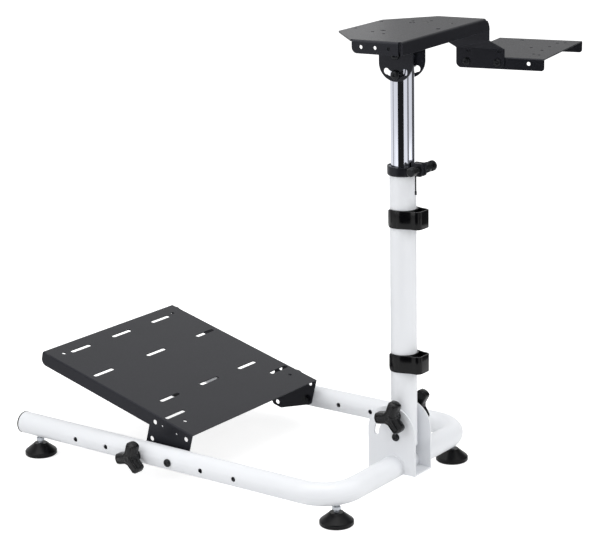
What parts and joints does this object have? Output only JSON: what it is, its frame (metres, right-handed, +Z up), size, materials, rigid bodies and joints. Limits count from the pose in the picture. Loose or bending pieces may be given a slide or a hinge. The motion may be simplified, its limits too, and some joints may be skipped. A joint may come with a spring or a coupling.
{
  "type": "folding racing wheel stand",
  "caption": "Folding stand for a gaming steering wheel: tube base with a tilting pedal deck, adjustable pole, tilting wheel deck and side deck for a shifter.",
  "frame": {"origin": "on the floor straight below the middle of the part's box", "axes": "+Z up, +Y forward from the user towards the pedals, +X to the user's right"},
  "size_m": [0.7599, 0.81, 0.7914],
  "materials": {
    "white_paint": "smooth white powder coat",
    "black_paint": "satin black powder coat",
    "black_bolt": "black oxide",
    "black_plastic": "moulded",
    "gloss_plastic": "glossy",
    "chrome": "polished",
    "zinc": "bright zinc"
  },
  "bodies": {
    "base": {"base_tube": "white_paint", "leg_cap_left": "black_plastic", "leg_cap_right": "black_plastic", "foot_pad_front_left": "black_plastic", "foot_pad_front_right": "black_plastic", "foot_pad_rear_left": "black_plastic", "foot_pad_rear_right": "black_plastic", "foot_stud_front_left": "zinc", "foot_stud_front_right": "zinc", "foot_stud_rear_left": "zinc", "foot_stud_rear_right": "zinc", "clevis": "white_paint", "fold_pivot_bolt": "black_bolt", "pedal_bolt_left": "black_bolt", "pedal_bolt_right": "black_bolt", "pedal_knob_left": "black_plastic", "pedal_knob_right": "black_plastic"},
    "pole_body": {"pole": "white_paint", "clamp_collar": "black_paint", "clamp_nut": "zinc", "cable_clip_lower": "gloss_plastic", "cable_clip_upper": "gloss_plastic", "fold_screw": "zinc", "fold_knob_left": "black_plastic", "fold_knob_right": "black_plastic"},
    "clamp_body": {"clamp_screw": "zinc"},
    "tube_body": {"inner_tube": "chrome", "tilt_pivot_bolt": "black_bolt", "tilt_lock_bolt": "black_bolt"},
    "head_body": {"tilt_bracket": "black_paint", "wheel_deck": "black_paint", "shifter_arm": "black_paint", "shifter_deck": "black_paint", "arm_bolt_front": "black_bolt", "arm_bolt_rear": "black_bolt", "deck_bolt_front": "black_bolt", "deck_bolt_rear": "black_bolt"},
    "pedal_body": {"pedal_deck": "black_paint"}
  },
  "joints": [
    {"name": "pole_fold", "type": "hinge", "parent": "base", "child": "pole_body", "pos_m": [-0.13, -0.3, 0.109], "axis": [-1, 0, 0], "range_deg": [0, 75]},
    {"name": "pole_height", "type": "slide", "parent": "pole_body", "child": "tube_body", "axis": [0, 0, 1], "range_m": [-0.125, 0.05]},
    {"name": "wheel_tilt", "type": "hinge", "parent": "tube_body", "child": "head_body", "pos_m": [-0.13, -0.3, 0.762], "axis": [0.9952, 0.0976, 0], "range_deg": [-30, 30]},
    {"name": "pedal_tilt", "type": "hinge", "parent": "base", "child": "pedal_body", "pos_m": [-0.13, 0.042, 0.0545], "axis": [-1, 0, 0], "range_deg": [-15, 15]},
    {"name": "clamp_turn", "type": "hinge", "parent": "pole_body", "child": "clamp_body", "pos_m": [-0.13, -0.334, 0.573], "axis": [-1, 0, 0], "range_deg": [0, 180]}
  ]
}
